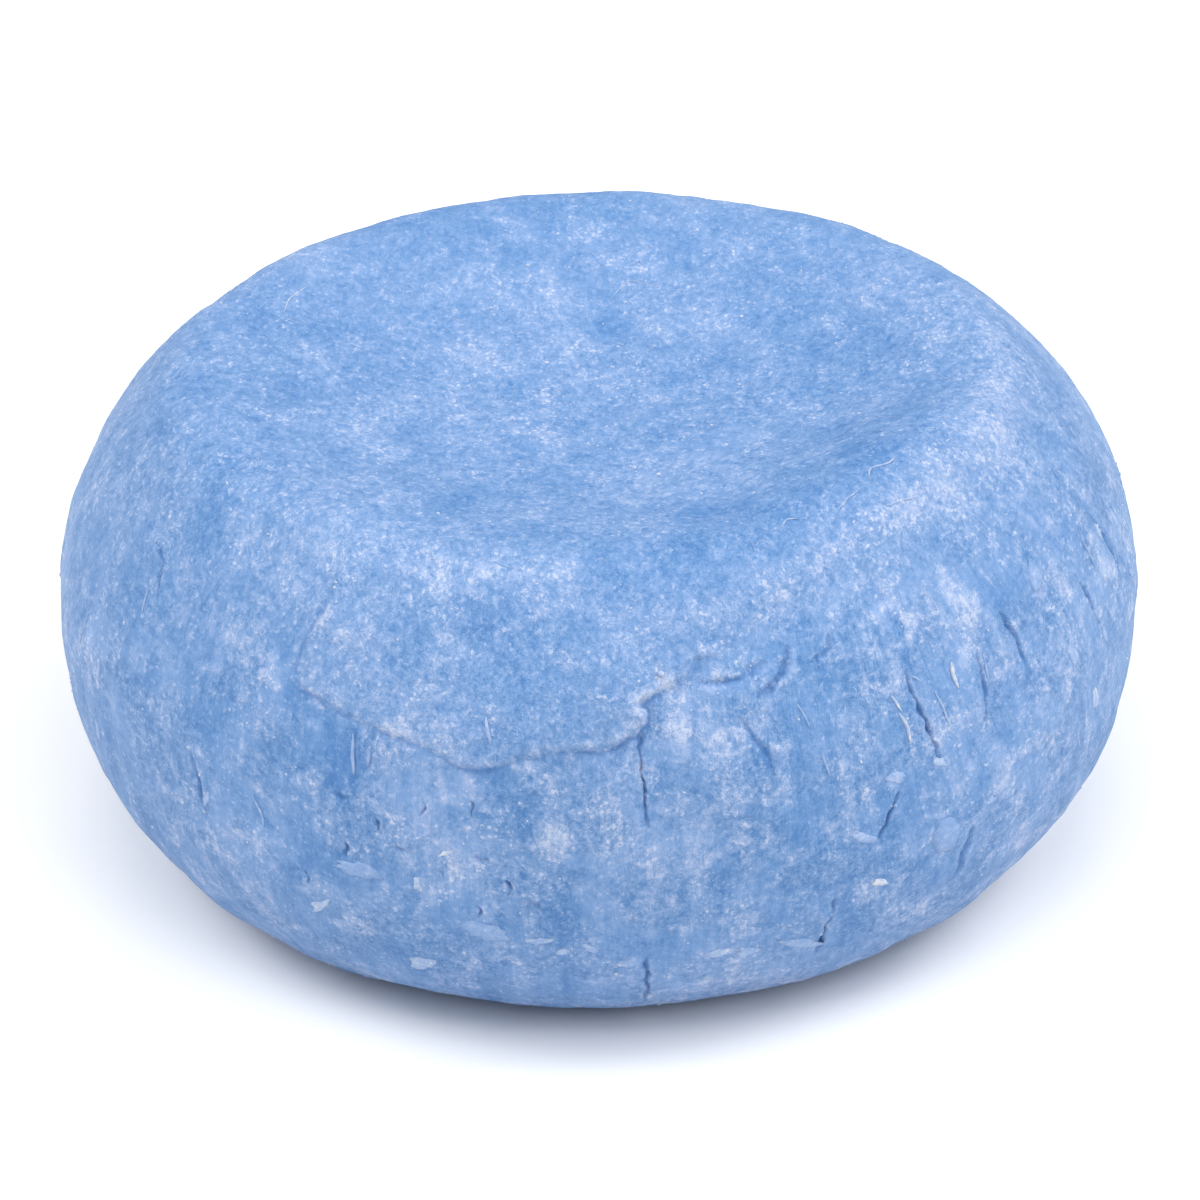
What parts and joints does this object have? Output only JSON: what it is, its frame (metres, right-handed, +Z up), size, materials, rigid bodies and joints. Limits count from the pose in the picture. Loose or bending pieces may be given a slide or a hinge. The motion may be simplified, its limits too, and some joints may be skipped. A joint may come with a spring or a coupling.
{
  "type": "solid shampoo bar",
  "caption": "Round pressed bar of solid blue shampoo with a bulging wall, a shallow dished top and a flat underside to rest on.",
  "frame": {"origin": "the middle of the bar in X and Y, on the plane of the flat underside that it rests on", "axes": "+Z up through the dished top, -Y out of the front, where a lap of paste is folded down over the wall, +X to the right of someone who faces the front"},
  "size_m": [0.056, 0.056, 0.0267],
  "materials": {
    "soap": "matte, slightly waxy pressed soap with a bloom of white powder"
  },
  "bodies": {
    "root": {"shampoo_bar": "soap"}
  },
  "joints": []
}
